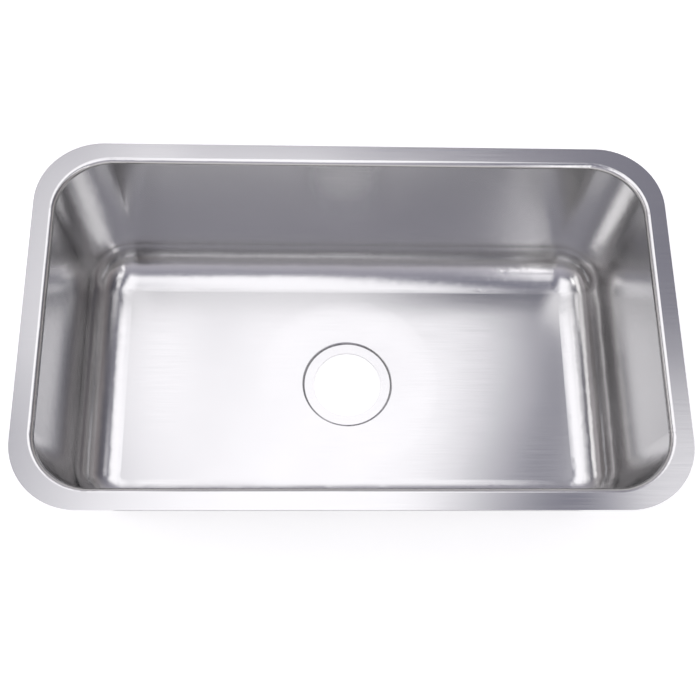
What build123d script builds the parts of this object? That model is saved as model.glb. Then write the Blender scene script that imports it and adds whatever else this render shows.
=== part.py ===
"""Undermount kitchen sink: one drawn steel bowl, its sprayed undercoating and its rubber pads.

Millimetres. +X runs along the sink, +Y to its back wall, +Z up out of the bowl. The origin is under
the middle of the drain, in the plane that the two floor pads stand on.
"""

from build123d import *
import math
import os

# ---- Steel bowl -------------------------------------------------------------------------------
# Its inside is given at the level of the flange's upper face, before the rim is bent.
steel = 1.2  # 18 gauge sheet, the same all over
bowl_length = 711.2  # 28 in
bowl_width = 406.4  # 16 in
bowl_depth = 222.8  # from the flange's upper face to the flat of the floor
wall_corner_r = 65.0  # upright corners, at the flange
end_draft = 4.0  # degrees that the two end walls lean in
side_draft = 6.5  # degrees that the front and back walls lean in
floor_blend_r = 50.0  # between the walls and the floor
corner_ease = 3.0  # how much more than the floor blend the upright corners keep at their foot

flange_land = 25.4  # 1 in, from the bowl's inside to the flange's outer edge
flange_corner_r = 79.4
rim_bend_r = 6.5  # upper side of the bend between flange and wall

# ---- Drain ------------------------------------------------------------------------------------
outlet_r = 44.45  # the standard 3 1/2 in outlet
recess_r = 58.2  # clears the 4 1/2 in flange of a standard strainer
recess_depth = 3.6
recess_shoulder_r = 2.2
recess_foot_r = 1.1
dish_fall = 1.0  # how far the floor falls to the recess
dish_margin = 12.0  # flat floor between the dish and the floor blend
lip_land = 4.0  # level ring between the dish and the recess's shoulder

# ---- Undercoating -----------------------------------------------------------------------------
coat = 0.8
coat_drop = 15.0  # bare steel below the flange, for the clips and the sealant
coat_drain_land = 8.0  # bare steel round the recess, for the strainer's gasket and nut
pad_gap = 1.0  # between the coat and the edge of each pad

# ---- Rubber pads ------------------------------------------------------------------------------
pad_thickness = 5.0
pad_corner_r = 12.0
floor_pad_margin = 15.0  # to the dish on one side and to the floor blend on the others
wall_pad_drop = 30.0  # from the flange's upper face
wall_pad_height = 90.0
wall_pad_margin = 25.0  # to the upright corners of the bowl

# ---- How the forms are joined and cut ---------------------------------------------------------
overlap = 10.0  # how far the dish's solid form reaches up into the basin's
window_cut = 1.0  # how far the cutters of the coat's windows run past its two faces
level_tolerance = 0.01  # for finding a face by its height

# ---- Worked out from these --------------------------------------------------------------------
flange_length = bowl_length + 2 * flange_land
flange_width = bowl_width + 2 * flange_land
stand_height = max(pad_thickness, dish_fall + recess_depth)  # what holds the floor's underside up
flange_z = stand_height + steel + bowl_depth
floor_z = flange_z - bowl_depth
lip_z = floor_z - dish_fall
seat_z = lip_z - recess_depth
foot_corner_r = floor_blend_r + corner_ease


def slope(degrees):
    """Run for each unit of height on a wall that leans by this angle."""
    return math.tan(math.radians(degrees))


def half_length(down, skin=0.0):
    """Half the distance between the end walls, at a depth below the flange's upper face.

    The surface is the steel's inside, or lies outside that by the skin's thickness.
    """
    return bowl_length / 2 - down * slope(end_draft) + skin / math.cos(math.radians(end_draft))


def half_width(down, skin=0.0):
    """The same between the front and back walls."""
    return bowl_width / 2 - down * slope(side_draft) + skin / math.cos(math.radians(side_draft))


def corner_r(down, skin=0.0):
    """Radius of the upright corners at that depth."""
    return wall_corner_r + (foot_corner_r - wall_corner_r) * down / bowl_depth + skin


def blend_run(draft):
    """How much of the floor's width its blend takes at a wall with this draft."""
    return floor_blend_r * math.tan(math.radians(90 - draft) / 2)


flat_half_length = half_length(bowl_depth) - blend_run(end_draft)
flat_half_width = half_width(bowl_depth) - blend_run(side_draft)
dish_r = flat_half_width - dish_margin
lip_r = recess_r + recess_shoulder_r + lip_land


# ---- Forms that the sheet and its coat follow -------------------------------------------------
def basin_form(skin):
    """The basin filled solid: its inside for a skin of 0, else a surface that far outside it."""
    foot = bowl_depth + skin
    with BuildPart() as form:
        for down in (0.0, foot):
            with BuildSketch(Plane.XY.offset(flange_z - down)):
                RectangleRounded(
                    2 * half_length(down, skin),
                    2 * half_width(down, skin),
                    corner_r(down, skin),
                )
        loft(ruled=True)
        fillet(form.edges().group_by(Axis.Z)[0], floor_blend_r + skin)
    return form.part


def dish_form(skin):
    """The shallow dish by which the floor falls to the drain, filled solid. It has no crease."""
    with BuildPart() as form:
        with BuildSketch(Plane.XZ):
            with BuildLine():
                Polyline(
                    (dish_r, floor_z - skin),
                    (dish_r, floor_z + overlap),
                    (0, floor_z + overlap),
                    (0, lip_z - skin),
                    (lip_r, lip_z - skin),
                )
                Spline(
                    (dish_r, floor_z - skin),
                    (lip_r, lip_z - skin),
                    tangents=[(-1, 0), (-1, 0)],
                )
            make_face()
        revolve(axis=Axis.Z)
    return form.part


def recess_form(skin):
    """The stepped seat of the strainer, filled solid, with its rounded shoulder and foot."""
    wall_r = recess_r + skin
    with BuildPart() as form:
        with BuildSketch(Plane.XZ):
            with BuildLine():
                FilletPolyline(
                    (0, floor_z),
                    (lip_r, floor_z),
                    (lip_r, lip_z - skin),
                    (wall_r, lip_z - skin),
                    (wall_r, seat_z - skin),
                    (0, seat_z - skin),
                    radius=[0, 0, 0, recess_shoulder_r - skin, recess_foot_r + skin, 0],
                    close=True,
                )
            make_face()
        revolve(axis=Axis.Z)
    return form.part


def rim_edges(part, level):
    """The loop that the basin makes in the flange's upper or lower face, at this height."""
    level_faces = part.faces().filter_by(Axis.Z).filter_by_position(
        Axis.Z, level - level_tolerance, level + level_tolerance
    )
    return level_faces.sort_by(SortBy.AREA)[-1].inner_wires()[0].edges()


# ---- Bowl -------------------------------------------------------------------------------------
os.makedirs("parts", exist_ok=True)

with BuildPart() as bowl:
    with BuildSketch(Plane.XY.offset(flange_z - steel)):
        RectangleRounded(flange_length, flange_width, flange_corner_r)
    extrude(amount=steel)
    add(basin_form(steel))
    add(dish_form(steel))
    add(recess_form(steel))
    fillet(rim_edges(bowl, flange_z - steel), rim_bend_r - steel)
    add(basin_form(0), mode=Mode.SUBTRACT)
    add(dish_form(0), mode=Mode.SUBTRACT)
    add(recess_form(0), mode=Mode.SUBTRACT)
    with Locations((0, 0, seat_z)):
        Hole(outlet_r)
    fillet(rim_edges(bowl, flange_z), rim_bend_r)
bowl.part.label = "bowl"
export_step(bowl.part, "parts/bowl.step")


# ---- Pads -------------------------------------------------------------------------------------
def wall_plane(side):
    """Plane on the steel's outside at the middle of a wall pad, facing away from the bowl."""
    down = wall_pad_drop + wall_pad_height / 2
    x = half_length(down, steel)
    y = half_width(down, steel)
    origin, outward, draft = {
        "left": ((-x, 0, flange_z - down), Vector(-1, 0, 0), end_draft),
        "right": ((x, 0, flange_z - down), Vector(1, 0, 0), end_draft),
        "front": ((0, -y, flange_z - down), Vector(0, -1, 0), side_draft),
        "back": ((0, y, flange_z - down), Vector(0, 1, 0), side_draft),
    }[side]
    along = Vector(0, 0, 1).cross(outward)
    return Plane(origin=origin, x_dir=along, z_dir=outward - Vector(0, 0, slope(draft)))


def wall_pad_length(side):
    """A wall pad spans the flat of its wall, less a margin to each upright corner."""
    foot = wall_pad_drop + wall_pad_height
    straight = half_width(foot) if side in ("left", "right") else half_length(foot)
    return 2 * (straight - corner_r(foot) - wall_pad_margin)


floor_pad_length = flat_half_length - dish_r - 2 * floor_pad_margin
floor_pad_width = 2 * (flat_half_width - floor_pad_margin)
floor_pad_x = (flat_half_length + dish_r) / 2

# Each pad's name, the plane on the steel that it is glued to, its length and its width
pads = []
for name, x in (("floor_pad_left", -floor_pad_x), ("floor_pad_right", floor_pad_x)):
    underside = Plane(origin=(x, 0, floor_z - steel), x_dir=(1, 0, 0), z_dir=(0, 0, -1))
    pads.append((name, underside, floor_pad_length, floor_pad_width))
for side in ("left", "right", "front", "back"):
    pads.append((side + "_pad", wall_plane(side), wall_pad_length(side), wall_pad_height))

for name, plane, length, width in pads:
    with BuildPart() as pad:
        with BuildSketch(plane):
            RectangleRounded(length, width, pad_corner_r)
        extrude(amount=pad_thickness)
    pad.part.label = name
    export_step(pad.part, f"parts/{name}.step")


# ---- Undercoating -----------------------------------------------------------------------------
with BuildPart() as undercoating:
    add(basin_form(steel + coat))
    add(dish_form(steel + coat))
    add(basin_form(steel), mode=Mode.SUBTRACT)
    add(dish_form(steel), mode=Mode.SUBTRACT)
    with BuildSketch(Plane.XY.offset(flange_z - steel - coat_drop)):
        Rectangle(flange_length, flange_width)
    extrude(amount=steel + coat_drop, mode=Mode.SUBTRACT)
    with Locations((0, 0, floor_z)):
        Hole(recess_r + steel + coat_drain_land)
    for name, plane, length, width in pads:
        with BuildSketch(plane):
            RectangleRounded(length + 2 * pad_gap, width + 2 * pad_gap, pad_corner_r + pad_gap)
        extrude(amount=coat + window_cut, both=True, mode=Mode.SUBTRACT)
undercoating.part.label = "undercoating"
export_step(undercoating.part, "parts/undercoating.step")

print(f"flange {flange_length:.1f} x {flange_width:.1f}, overall height {flange_z:.1f}")
print(f"floor's flat half size {flat_half_length:.1f} x {flat_half_width:.1f}, dish radius {dish_r:.1f}")
print(f"flange to underside of the drain's seat {flange_z - seat_z + steel:.1f}")
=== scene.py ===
# %% [markdown]
# # An undermount kitchen sink
#
# A sheet of stainless steel is drawn into one rectangular basin with a flat flange round it. Rubber pads
# and a sprayed coat on the outside keep it quiet. This notebook dresses the exact, measured model of that
# sink: the camera first, then each finish, then the studio that the steel mirrors.

# %% Load the measured model
import math

import bmesh
import bpy
from mathutils import Matrix, Quaternion, Vector


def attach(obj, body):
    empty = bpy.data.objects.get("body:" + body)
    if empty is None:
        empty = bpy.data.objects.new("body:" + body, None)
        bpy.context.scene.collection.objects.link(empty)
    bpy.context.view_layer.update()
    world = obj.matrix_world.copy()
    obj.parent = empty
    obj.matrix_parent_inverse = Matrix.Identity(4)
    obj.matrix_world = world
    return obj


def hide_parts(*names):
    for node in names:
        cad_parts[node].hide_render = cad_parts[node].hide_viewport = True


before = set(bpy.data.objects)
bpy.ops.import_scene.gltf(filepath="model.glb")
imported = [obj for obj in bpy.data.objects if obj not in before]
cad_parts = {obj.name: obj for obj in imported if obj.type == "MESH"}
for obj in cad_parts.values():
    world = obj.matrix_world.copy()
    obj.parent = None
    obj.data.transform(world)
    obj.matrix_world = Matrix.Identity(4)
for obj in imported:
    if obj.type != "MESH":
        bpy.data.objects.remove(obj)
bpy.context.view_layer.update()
scene = bpy.context.scene
scene.view_settings.view_transform = "Standard"
MM = 0.001
print("nodes:", ", ".join(sorted(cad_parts)))

# %% [markdown]
# ## Camera
#
# The picture looks down into the basin from in front, a little left of its middle, and the camera was held
# slightly turned. Its place and its lens were worked out from the outline of the flange, the rim, the drain
# and the edges of the floor. A camera matrix is built from three directions: where it looks, its right and
# its up.

# %% Camera
PICTURE = 700  # pixels, each way
SENSOR = 36.0  # millimetres wide
FOCAL_PIXELS = 1139.0
CENTRE_PIXEL = (352.4, 361.3)  # where the lens's axis meets the picture
CAMERA_PLACE = Vector((-0.0543, -0.5269, 1.4376))
LOOK_DOWN = math.radians(68.57)
TURN_RIGHT = math.radians(6.28)
ROLL = math.radians(6.13)


def camera_directions():
    ahead = Vector((
        math.sin(TURN_RIGHT) * math.cos(LOOK_DOWN),
        math.cos(TURN_RIGHT) * math.cos(LOOK_DOWN),
        -math.sin(LOOK_DOWN),
    ))
    level = Vector((math.cos(TURN_RIGHT), -math.sin(TURN_RIGHT), 0))
    above = level.cross(ahead)
    right = level * math.cos(ROLL) + above * math.sin(ROLL)
    up = above * math.cos(ROLL) - level * math.sin(ROLL)
    return right, up, ahead


lens = bpy.data.cameras.new("camera")
lens.sensor_width = SENSOR
lens.lens = FOCAL_PIXELS / PICTURE * lens.sensor_width
lens.shift_x = (PICTURE / 2 - CENTRE_PIXEL[0]) / PICTURE
lens.shift_y = (CENTRE_PIXEL[1] - PICTURE / 2) / PICTURE
camera = bpy.data.objects.new("camera", lens)
right, up, ahead = camera_directions()
camera.matrix_world = Matrix.Translation(CAMERA_PLACE) @ Matrix((right, up, -ahead)).transposed().to_4x4()
scene.collection.objects.link(camera)
scene.camera = camera
print(f"lens {lens.lens:.1f} mm, {CAMERA_PLACE.length:.2f} m from the drain")

# %% [markdown]
# ## Tools for materials
#
# Each finish below is a small net of shader nodes. One helper adds a node with its settings and its links,
# and one turns the sRGB hex colours that people write into the linear values that the renderer needs.

# %% Colour and node helpers


def linear(hex_colour):
    """Linear RGBA from an sRGB hex colour such as #C8C9CC."""
    parts = [int(hex_colour[i:i + 2], 16) / 255 for i in (1, 3, 5)]
    return [c / 12.92 if c <= 0.04045 else ((c + 0.055) / 1.055) ** 2.4 for c in parts] + [1.0]


def add_node(tree, kind, inputs=None, **settings):
    """A new node with its settings. Inputs go by name or number to a value, or to a socket to link from."""
    node = tree.nodes.new(kind)
    for name, value in settings.items():
        setattr(node, name, value)
    for name, value in (inputs or {}).items():
        if isinstance(value, bpy.types.NodeSocket):
            tree.links.new(value, node.inputs[name])
        else:
            node.inputs[name].default_value = value
    return node


def new_material(name):
    """An empty material, its node tree and its output node."""
    material = bpy.data.materials.new(name)
    material.use_nodes = True
    material.node_tree.nodes.clear()
    output = material.node_tree.nodes.new("ShaderNodeOutputMaterial")
    return material, material.node_tree, output


# %% [markdown]
# ## Brushed stainless steel
#
# Sink sheet is 304 stainless with a brushed satin finish: belts drag fine scratches along the sheet before
# it is drawn. Across the scratches a reflection spreads wide, along them it stays tight. The shader is a full
# metal with a fairly low roughness and some anisotropy, and its tangent lies across the sheet, because a
# reflection is stretched along the tangent. The scratches are fine noise, drawn out along the sheet, in the
# bump and the roughness. Drawing leaves the sheet very slightly uneven, too little to see but enough to bend
# what it mirrors.

# %% Stainless steel
STEEL = "#D8D8D8"
GRAIN_SPACING = 1.1 * MM  # real scratches are nearer 0.1 mm, drawn as coarse as they need to show
GRAIN_LENGTH = 70 * MM
GRAIN_DEPTH = 0.0008 * MM
WAVE_LENGTH = 90 * MM
WAVE_DEPTH = 0.12 * MM
SMEAR_SIZE = 140 * MM
SMOOTHEST, ROUGHEST = 0.16, 0.22
STRETCH = 0.6  # how much wider a reflection spreads across the scratches


def brushed_steel():
    material, tree, output = new_material("brushed_304_stainless")
    place = add_node(tree, "ShaderNodeTexCoord").outputs["Object"]
    facing = add_node(tree, "ShaderNodeNewGeometry").outputs["Normal"]
    facing = add_node(tree, "ShaderNodeSeparateXYZ", {0: facing})

    def scratches(scale):
        squeezed = add_node(tree, "ShaderNodeMapping", {"Vector": place, "Scale": scale})
        return add_node(tree, "ShaderNodeTexNoise", {
            "Vector": squeezed.outputs[0], "Scale": 1.0, "Detail": 3.0, "Roughness": 0.6,
        }).outputs[0]

    # One set runs lengthwise on floor and flange and up the end walls, the other lengthwise on the long walls
    along = 1 / GRAIN_LENGTH
    across = 1 / GRAIN_SPACING
    flat = scratches((along, across, along))
    upright = scratches((along, along, across))
    steep = add_node(tree, "ShaderNodeMath", {0: facing.outputs["Y"]}, operation="ABSOLUTE").outputs[0]
    steep = add_node(tree, "ShaderNodeMapRange", {0: steep, "From Min": 0.5, "From Max": 0.9}).outputs[0]
    grain = add_node(tree, "ShaderNodeMix", {"Factor": steep, "A": flat, "B": upright}).outputs[0]
    waves = add_node(tree, "ShaderNodeTexNoise", {
        "Vector": place, "Scale": 1 / WAVE_LENGTH, "Detail": 1.0,
    }).outputs[0]
    smears = add_node(tree, "ShaderNodeTexNoise", {
        "Vector": place, "Scale": 1 / SMEAR_SIZE, "Detail": 2.0,
    }).outputs[0]
    roughness = add_node(tree, "ShaderNodeMapRange", {
        0: grain, "From Min": 0.3, "From Max": 0.7, "To Min": SMOOTHEST, "To Max": ROUGHEST,
    }).outputs[0]
    tint = add_node(tree, "ShaderNodeMapRange", {
        0: smears, "From Min": 0.3, "From Max": 0.7, "To Min": 0.97, "To Max": 1.0,
    }).outputs[0]
    colour = add_node(tree, "ShaderNodeVectorMath", {0: linear(STEEL)[:3], "Scale": tint}, operation="SCALE")
    uneven = add_node(tree, "ShaderNodeBump", {"Strength": 1.0, "Distance": WAVE_DEPTH, "Height": waves})
    brushed = add_node(tree, "ShaderNodeBump", {
        "Strength": 1.0, "Distance": GRAIN_DEPTH, "Height": grain, "Normal": uneven.outputs[0],
    })
    across_sheet = add_node(tree, "ShaderNodeCombineXYZ", {"Y": 1.0})
    shader = add_node(tree, "ShaderNodeBsdfPrincipled", {
        "Base Color": colour.outputs[0],
        "Metallic": 1.0,
        "Roughness": roughness,
        "Anisotropic": STRETCH,
        "Tangent": across_sheet.outputs[0],
        "Normal": brushed.outputs[0],
    })
    tree.links.new(shader.outputs[0], output.inputs["Surface"])
    return material


def dress(node, material):
    """Give a node of the measured model this material alone."""
    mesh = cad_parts[node].data
    mesh.materials.clear()
    mesh.materials.append(material)


dress("bowl", brushed_steel())

# %% [markdown]
# ## Sprayed undercoating
#
# The outside is sprayed with a thick water-based coat that deadens sound and keeps water from condensing on
# the cold steel. It dries matt and pebbled, like coarse orange peel, and lies a little thinner and darker in
# places. The coat's shape in the measured model is right, so it keeps its mesh, and noise does the rest; the
# hollows between the pebbles are painted darker as painted shade.

# %% Undercoating
COAT = "#B3B3B4"
PEBBLE_SIZE = 3.5 * MM
PEBBLE_HEIGHT = 0.35 * MM
PATCH_SIZE = 60 * MM
COAT_ROUGHNESS = 0.82


def sprayed_coat():
    material, tree, output = new_material("sprayed_sound_deadening_coat")
    place = add_node(tree, "ShaderNodeTexCoord").outputs["Object"]
    pebbles = add_node(tree, "ShaderNodeTexNoise", {
        "Vector": place, "Scale": 1 / PEBBLE_SIZE, "Detail": 2.0, "Roughness": 0.55,
    }).outputs[0]
    droplets = add_node(tree, "ShaderNodeTexVoronoi", {
        "Vector": place, "Scale": 0.6 / PEBBLE_SIZE,
    }, feature="SMOOTH_F1").outputs[0]
    patches = add_node(tree, "ShaderNodeTexNoise", {
        "Vector": place, "Scale": 1 / PATCH_SIZE, "Detail": 4.0,
    }).outputs[0]
    height = add_node(tree, "ShaderNodeMath", {0: pebbles, 1: droplets}, operation="SUBTRACT").outputs[0]
    shade = add_node(tree, "ShaderNodeMapRange", {
        0: patches, "From Min": 0.3, "From Max": 0.7, "To Min": 0.88, "To Max": 1.04,
    }).outputs[0]
    # Painted shade: the lower the pebble height, the darker the coat's colour, so the hollows look shaded.
    painted_hollow_shade = add_node(tree, "ShaderNodeMapRange", {
        0: height, "From Min": -0.4, "From Max": 0.4, "To Min": 0.9, "To Max": 1.03,
    }).outputs[0]
    shade = add_node(tree, "ShaderNodeMath", {0: shade, 1: painted_hollow_shade}, operation="MULTIPLY").outputs[0]
    colour = add_node(tree, "ShaderNodeVectorMath", {0: linear(COAT)[:3], "Scale": shade}, operation="SCALE")
    bump = add_node(tree, "ShaderNodeBump", {"Strength": 1.0, "Distance": PEBBLE_HEIGHT, "Height": height})
    shader = add_node(tree, "ShaderNodeBsdfPrincipled", {
        "Base Color": colour.outputs[0],
        "Roughness": COAT_ROUGHNESS,
        "Normal": bump.outputs[0],
    })
    tree.links.new(shader.outputs[0], output.inputs["Surface"])
    return material


dress("undercoating", sprayed_coat())

# %% [markdown]
# ## Rubber pads
#
# The pads are die-cut from 5 mm sheet of soft butyl rubber and stuck on. The cutting die rounds their outer
# edge a little, and the sheet has the fine dull grain of the calender that rolled it. Each one takes its
# outline from the measured model: a copy of the node is merged, its flat faces are joined again, and a bevel
# goes round the face that looks away from the steel.

# %% Rubber
RUBBER = "#3F3F42"
RUBBER_GRAIN = 1.6 * MM
RUBBER_GRAIN_HEIGHT = 0.05 * MM
BLOOM_SIZE = 45 * MM


def pad_rubber():
    material, tree, output = new_material("matt_butyl_rubber")
    place = add_node(tree, "ShaderNodeTexCoord").outputs["Object"]
    grain = add_node(tree, "ShaderNodeTexNoise", {
        "Vector": place, "Scale": 1 / RUBBER_GRAIN, "Detail": 3.0, "Roughness": 0.6,
    }).outputs[0]
    bloom = add_node(tree, "ShaderNodeTexNoise", {
        "Vector": place, "Scale": 1 / BLOOM_SIZE, "Detail": 3.0,
    }).outputs[0]
    shade = add_node(tree, "ShaderNodeMapRange", {
        0: bloom, "From Min": 0.35, "From Max": 0.75, "To Min": 0.85, "To Max": 1.3,
    }).outputs[0]
    dull = add_node(tree, "ShaderNodeMapRange", {
        0: bloom, "From Min": 0.35, "From Max": 0.75, "To Min": 0.62, "To Max": 0.78,
    }).outputs[0]
    colour = add_node(tree, "ShaderNodeVectorMath", {
        0: linear(RUBBER)[:3], "Scale": shade,
    }, operation="SCALE")
    bump = add_node(tree, "ShaderNodeBump", {
        "Strength": 1.0, "Distance": RUBBER_GRAIN_HEIGHT, "Height": grain,
    })
    shader = add_node(tree, "ShaderNodeBsdfPrincipled", {
        "Base Color": colour.outputs[0],
        "Roughness": dull,
        "Normal": bump.outputs[0],
    })
    tree.links.new(shader.outputs[0], output.inputs["Surface"])
    return material


# %% Pads
PAD_EDGE = 1.4 * MM
SAME_POINT = 0.01 * MM
SAME_FACE = math.radians(0.5)
SHARP = math.radians(35)
PAD_FACES = {  # the direction that each pad's outer face looks in
    "floor_pad_left": (0, 0, -1),
    "floor_pad_right": (0, 0, -1),
    "left_pad": (-1, 0, 0),
    "right_pad": (1, 0, 0),
    "front_pad": (0, -1, 0),
    "back_pad": (0, 1, 0),
}


def rounded_pad(node, outward):
    shape = bmesh.new()
    shape.from_mesh(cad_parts[node].data)
    bmesh.ops.remove_doubles(shape, verts=shape.verts, dist=SAME_POINT)
    bmesh.ops.dissolve_limit(
        shape, angle_limit=SAME_FACE, use_dissolve_boundaries=False,
        verts=shape.verts, edges=shape.edges,
    )
    outer = max(shape.faces, key=lambda face: face.normal.dot(Vector(outward)) * face.calc_area())
    bmesh.ops.bevel(
        shape, geom=list(outer.edges), offset=PAD_EDGE, offset_type="OFFSET", affect="EDGES",
        segments=4, profile=0.5, material=-1,
    )
    mesh = bpy.data.meshes.new(node + "_rounded")
    shape.to_mesh(mesh)
    shape.free()
    mesh.shade_smooth()
    mesh.set_sharp_from_angle(angle=SHARP)
    return mesh


rubber = pad_rubber()
for node, outward in PAD_FACES.items():
    mesh = rounded_pad(node, outward)
    mesh.materials.append(rubber)
    pad = bpy.data.objects.new(node + "_rubber", mesh)
    scene.collection.objects.link(pad)
    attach(pad, "root")
    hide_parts(node)
    print(pad.name, len(mesh.polygons), "faces")

# %% [markdown]
# ## Studio
#
# Metal shows its surroundings more than itself, so the studio is half of this finish. What each strip of the
# bent steel mirrors tells where the lights stood: a wide soft light overhead whose brightness falls off
# towards its edges, smaller ones round it, one high on the left wall and a narrow one in front, in a grey
# room that is darkest on the right. All have the same white. Their fall-off is a ramp along each side of the
# rectangle, which the Parametric output of the Geometry node measures from 0 to 1. Each lamp under the
# ceiling hangs a little above the last, because where two share one plane a mirrored ray meets only one.

# %% Lamps


def soft_box(name, place, aim, size, brightness, colour, fade=(0, 0, 0, 0), turn=0):
    """A rectangular lamp that looks as bright as a surface of this brightness and colour.

    fade gives how far, in metres, it fades in from its left, right, lower and upper edge, and turn how many
    degrees the lamp is turned in its own plane.
    """
    light = bpy.data.lights.new(name, "AREA")
    light.shape = "RECTANGLE"
    light.size, light.size_y = size
    light.energy = brightness * math.pi * size[0] * size[1]
    light.color = linear(colour)[:3]
    light.use_nodes = True
    tree = light.node_tree
    emission = tree.nodes["Emission"]
    spot = add_node(tree, "ShaderNodeNewGeometry").outputs["Parametric"]
    spot = add_node(tree, "ShaderNodeSeparateXYZ", {0: spot})
    strength = None
    for axis, length, (low, high) in (("X", size[0], fade[:2]), ("Y", size[1], fade[2:])):
        for start, run in ((0.0, low), (1.0, high)):
            if run:
                inner = abs(start - run / length)
                edge = add_node(tree, "ShaderNodeMapRange", {
                    0: spot.outputs[axis], "From Min": start, "From Max": inner,
                }, interpolation_type="SMOOTHSTEP").outputs[0]
                if strength is None:
                    strength = edge
                else:
                    strength = add_node(tree, "ShaderNodeMath", {
                        0: strength, 1: edge,
                    }, operation="MULTIPLY").outputs[0]
    if strength is not None:
        tree.links.new(strength, emission.inputs["Strength"])
    lamp = bpy.data.objects.new(name, light)
    lamp.location = place
    facing = (Vector(aim) - Vector(place)).to_track_quat("-Z", "Y")
    lamp.rotation_euler = (facing @ Quaternion((0, 0, 1), math.radians(turn))).to_euler()
    lamp.visible_camera = False
    scene.collection.objects.link(lamp)
    return lamp


LAMP_WHITE = "#FFFDFC"
CEILING = 1.8
STEP = 0.01  # how far each lamp hangs above the last


def ceiling_lamp(name, step, place, size, brightness, fade, turn=0):
    """A soft box that hangs under the ceiling and shines straight down."""
    x, y = place
    height = CEILING + step * STEP
    return soft_box(name, (x, y, height), (x, y, 0), size, brightness, LAMP_WHITE, fade, turn)


ceiling_lamp("overhead_lamp", 0, (-0.3, 0.2), (1.7, 2.1), 1.3, (0.9, 0.4, 0.4, 0.1), turn=-20)
ceiling_lamp("back_left_lamp", 1, (-0.8, 0.9), (1.0, 1.0), 0.6, (0.2, 0.2, 0.2, 0.2))
ceiling_lamp("right_side_lamp", 2, (1.0, 0.1), (0.7, 1.2), 1.0, (0.2, 0.2, 0.4, 0.4))
ceiling_lamp("front_right_lamp", 3, (1.1, -0.9), (1.2, 1.0), 1.2, (0.3, 0.1, 0.1, 0.1))
ceiling_lamp("front_left_lamp", 4, (-1.4, -0.55), (0.7, 1.1), 1.7, (0.1, 0.1, 0.2, 0.2))
soft_box("left_lamp", (-1.75, 0, 1.45), (0, 0, 1.45), (2.4, 0.7), 1.2, LAMP_WHITE, (0.3, 0.1, 0.3, 0))
soft_box("front_lamp", (0.8, -1.6, 1.4), (0.8, 0, 1.4), (0.3, 0.7), 2.0, LAMP_WHITE, (0.05, 0.05, 0.05, 0))

# %% [markdown]
# The rest of the room is a world with a colour for each side, seen high up and low down. The square of each
# component of a direction says how much it faces that side, and the squares add up to one, so the colours
# blend smoothly all the way round. Towards the horizon the room darkens, and from a little above it down
# stands the pale backdrop that the camera and the metal see.

# %% World
ROOM_TOP = "#78788A"
ROOM_SIDES = {  # side: axis, sign, colour high up, colour low down
    "left": ("X", -1, "#585450", "#C0BABC"),
    "right": ("X", 1, "#383430", "#989090"),
    "front": ("Y", -1, "#E8E4EE", "#F0ECEC"),
    "back": ("Y", 1, "#CCC8D0", "#D0CCCC"),
}
ROOM_BAND = (0.34, 0.64)  # sines of the heights between which the low colour turns to the high one
DARK_BAND = (-0.10, 0.15)  # and between which the dark horizon gives way to the room
BACKDROP = "#F4F4F5"
BACKDROP_HEIGHT = 0.06


def room():
    world = bpy.data.worlds.new("studio_room")
    world.use_nodes = True
    tree = world.node_tree
    towards = add_node(tree, "ShaderNodeTexCoord").outputs["Generated"]
    towards = add_node(tree, "ShaderNodeSeparateXYZ", {0: towards})

    def rise(low, high):
        return add_node(tree, "ShaderNodeMapRange", {
            0: towards.outputs["Z"], "From Min": low, "From Max": high,
        }, interpolation_type="SMOOTHSTEP").outputs[0]

    def share(axis, sign):
        facing = add_node(tree, "ShaderNodeMath", {0: towards.outputs[axis], 1: sign}, operation="MULTIPLY")
        facing = add_node(tree, "ShaderNodeMath", {0: facing.outputs[0], 1: 0.0}, operation="MAXIMUM")
        return add_node(tree, "ShaderNodeMath", {0: facing.outputs[0], 1: 2.0}, operation="POWER").outputs[0]

    high = rise(*ROOM_BAND)
    total = add_node(tree, "ShaderNodeVectorMath", {
        0: linear(ROOM_TOP)[:3], "Scale": share("Z", 1),
    }, operation="SCALE").outputs[0]
    for axis, sign, upper, lower in ROOM_SIDES.values():
        colour = add_node(tree, "ShaderNodeMix", {
            "Factor": high, 6: linear(lower), 7: linear(upper),
        }, data_type="RGBA").outputs[2]
        part = add_node(tree, "ShaderNodeVectorMath", {
            0: colour, "Scale": share(axis, sign),
        }, operation="SCALE").outputs[0]
        total = add_node(tree, "ShaderNodeVectorMath", {0: total, 1: part}, operation="ADD").outputs[0]
    total = add_node(tree, "ShaderNodeVectorMath", {
        0: total, "Scale": rise(*DARK_BAND),
    }, operation="SCALE").outputs[0]

    path = add_node(tree, "ShaderNodeLightPath").outputs
    mirrored = add_node(tree, "ShaderNodeMath", {
        0: path["Is Glossy Ray"], 1: path["Is Transmission Ray"],
    }, operation="MAXIMUM").outputs[0]
    low = add_node(tree, "ShaderNodeMath", {
        0: towards.outputs["Z"], 1: BACKDROP_HEIGHT,
    }, operation="LESS_THAN").outputs[0]
    mirrored = add_node(tree, "ShaderNodeMath", {0: mirrored, 1: low}, operation="MULTIPLY").outputs[0]
    shown = add_node(tree, "ShaderNodeMath", {
        0: path["Is Camera Ray"], 1: mirrored,
    }, operation="MAXIMUM").outputs[0]
    total = add_node(tree, "ShaderNodeMix", {
        "Factor": shown, 6: total, 7: linear(BACKDROP),
    }, data_type="RGBA").outputs[2]
    tree.links.new(total, tree.nodes["Background"].inputs["Color"])
    return world


scene.world = room()

# %% [markdown]
# The floor is a sheet of white paper. It glows for the camera and for whatever mirrors it, so that the
# background is white with no more light on the sink, and it still darkens in the sink's shadow.

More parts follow.
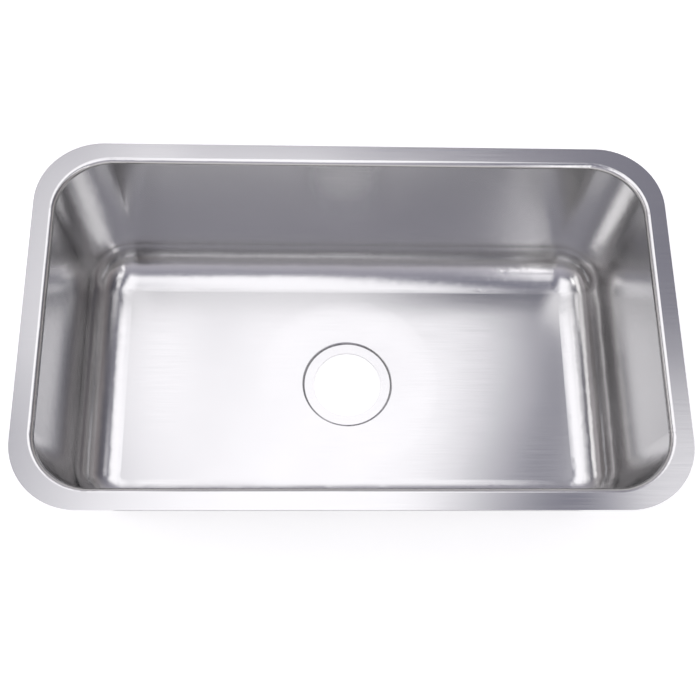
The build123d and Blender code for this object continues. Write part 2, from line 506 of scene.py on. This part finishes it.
# %% Ground
PAPER = "#F2F2F2"
PAPER_ROUGHNESS = 0.9
GLOW = 0.62
PAPER_SIZE = 6.0  # half its side
SHADE = (0.40, 0.24)  # half the length and width of the floor under the sink, whose glow no metal mirrors


def ground():
    mesh = bpy.data.meshes.new("ground")
    shape = bmesh.new()
    bmesh.ops.create_grid(shape, x_segments=1, y_segments=1, size=PAPER_SIZE)
    shape.to_mesh(mesh)
    shape.free()
    floor = bpy.data.objects.new("ground", mesh)
    scene.collection.objects.link(floor)
    material, tree, output = new_material("white_paper")
    path = add_node(tree, "ShaderNodeLightPath").outputs
    place = add_node(tree, "ShaderNodeTexCoord").outputs["Object"]
    spread = add_node(tree, "ShaderNodeVectorMath", {
        0: place, 1: (1 / SHADE[0], 1 / SHADE[1], 0),
    }, operation="MULTIPLY").outputs[0]
    spread = add_node(tree, "ShaderNodeVectorMath", {0: spread}, operation="LENGTH").outputs["Value"]
    open_floor = add_node(tree, "ShaderNodeMath", {0: spread, 1: 1.0}, operation="GREATER_THAN").outputs[0]
    mirrored = add_node(tree, "ShaderNodeMath", {
        0: path["Is Glossy Ray"], 1: path["Is Transmission Ray"],
    }, operation="MAXIMUM").outputs[0]
    mirrored = add_node(tree, "ShaderNodeMath", {0: mirrored, 1: open_floor}, operation="MULTIPLY").outputs[0]
    seen = add_node(tree, "ShaderNodeMath", {
        0: path["Is Camera Ray"], 1: mirrored,
    }, operation="MAXIMUM").outputs[0]
    paper = add_node(tree, "ShaderNodeBsdfPrincipled", {
        "Base Color": linear(PAPER), "Roughness": PAPER_ROUGHNESS,
    })
    glow = add_node(tree, "ShaderNodeEmission", {"Color": linear("#FFFFFF"), "Strength": GLOW})
    both = add_node(tree, "ShaderNodeAddShader", {0: paper.outputs[0], 1: glow.outputs[0]})
    mixed = add_node(tree, "ShaderNodeMixShader", {0: seen, 1: paper.outputs[0], 2: both.outputs[0]})
    tree.links.new(mixed.outputs[0], output.inputs["Surface"])
    mesh.materials.append(material)
    return floor


ground()
